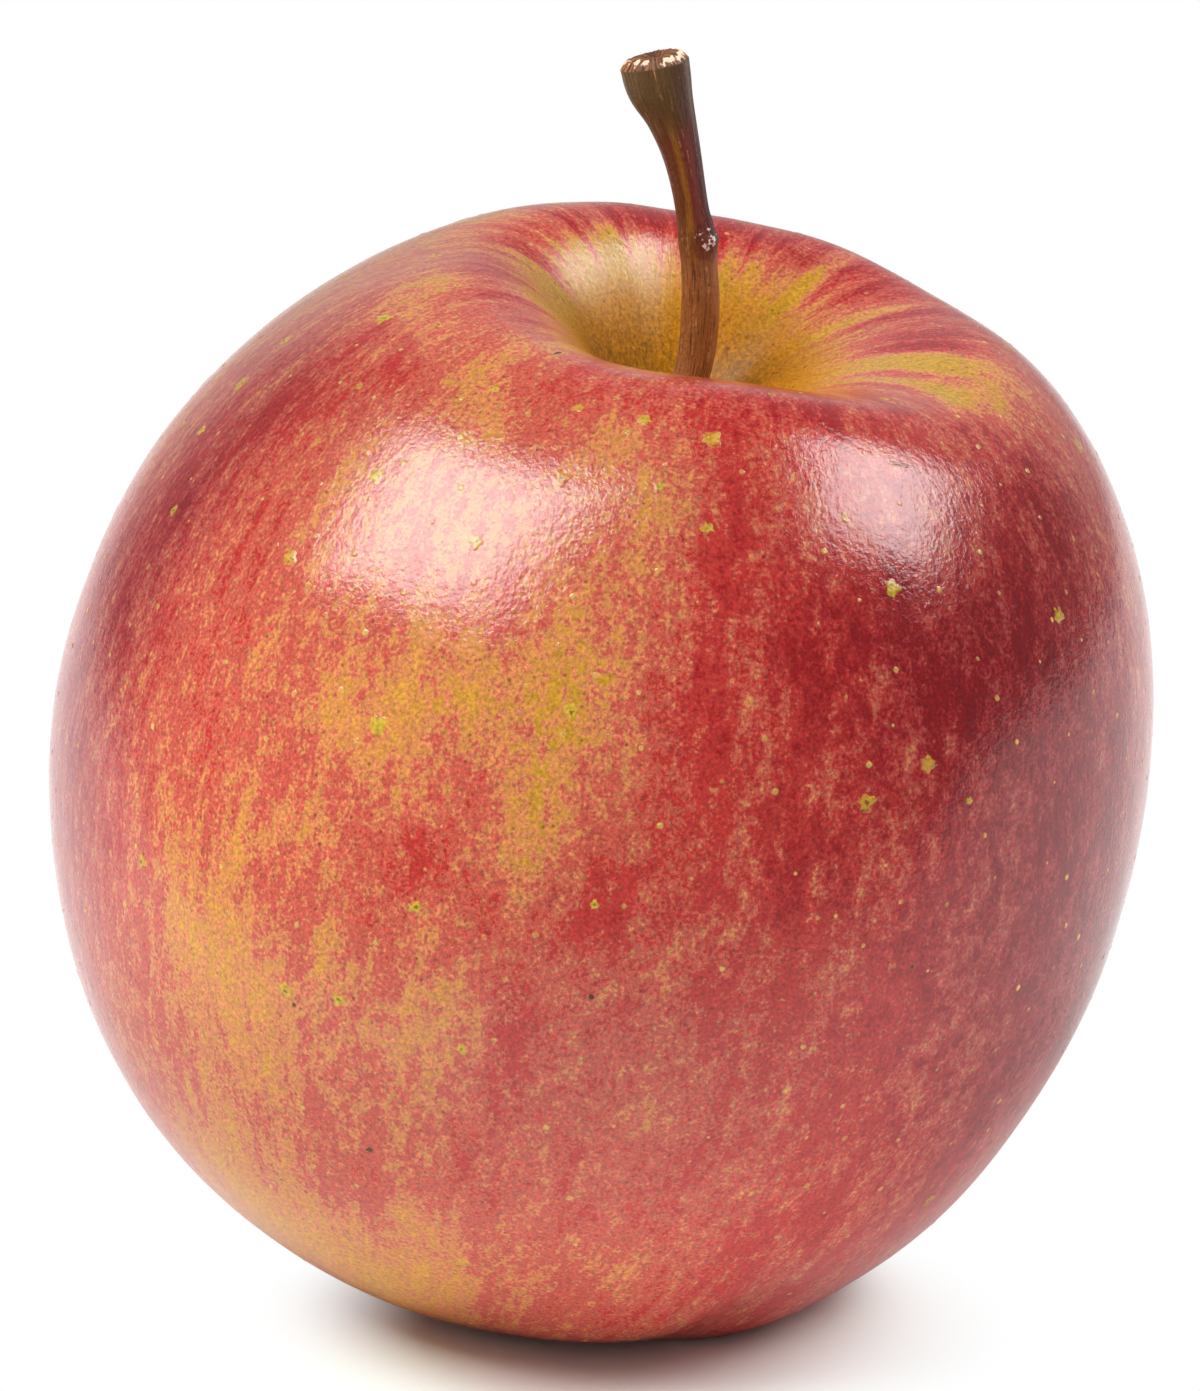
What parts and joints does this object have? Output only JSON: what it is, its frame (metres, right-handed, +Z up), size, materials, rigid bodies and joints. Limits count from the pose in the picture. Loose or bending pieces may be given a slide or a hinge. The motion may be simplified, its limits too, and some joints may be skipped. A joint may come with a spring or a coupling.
{
  "type": "red apple",
  "caption": "Fresh red apple with a leaning woody stem in a deep stem cavity and dried flower parts in the hollow underneath; it stands on the lobes round its base.",
  "frame": {"origin": "middle of the fruit's bounding box in plan, at the level of the surface that the apple stands on", "axes": "+Z up, from the calyx end to the stem; +X towards the side that the top and the stem lean to; -Y is the side with the lower rim of the stem cavity"},
  "size_m": [0.0784, 0.0816, 0.0893],
  "materials": {
    "skin": "waxy semi-gloss skin, red over yellow",
    "stem_wood": "matt dry bark",
    "dried_sepal": "matt dry leaf",
    "dried_stamens": "matt dry threads"
  },
  "bodies": {
    "root": {"fruit": "skin", "stem": "stem_wood", "calyx_sepal_1": "dried_sepal", "calyx_sepal_2": "dried_sepal", "calyx_sepal_3": "dried_sepal", "calyx_sepal_4": "dried_sepal", "calyx_sepal_5": "dried_sepal", "calyx_stamens": "dried_stamens"}
  },
  "joints": []
}
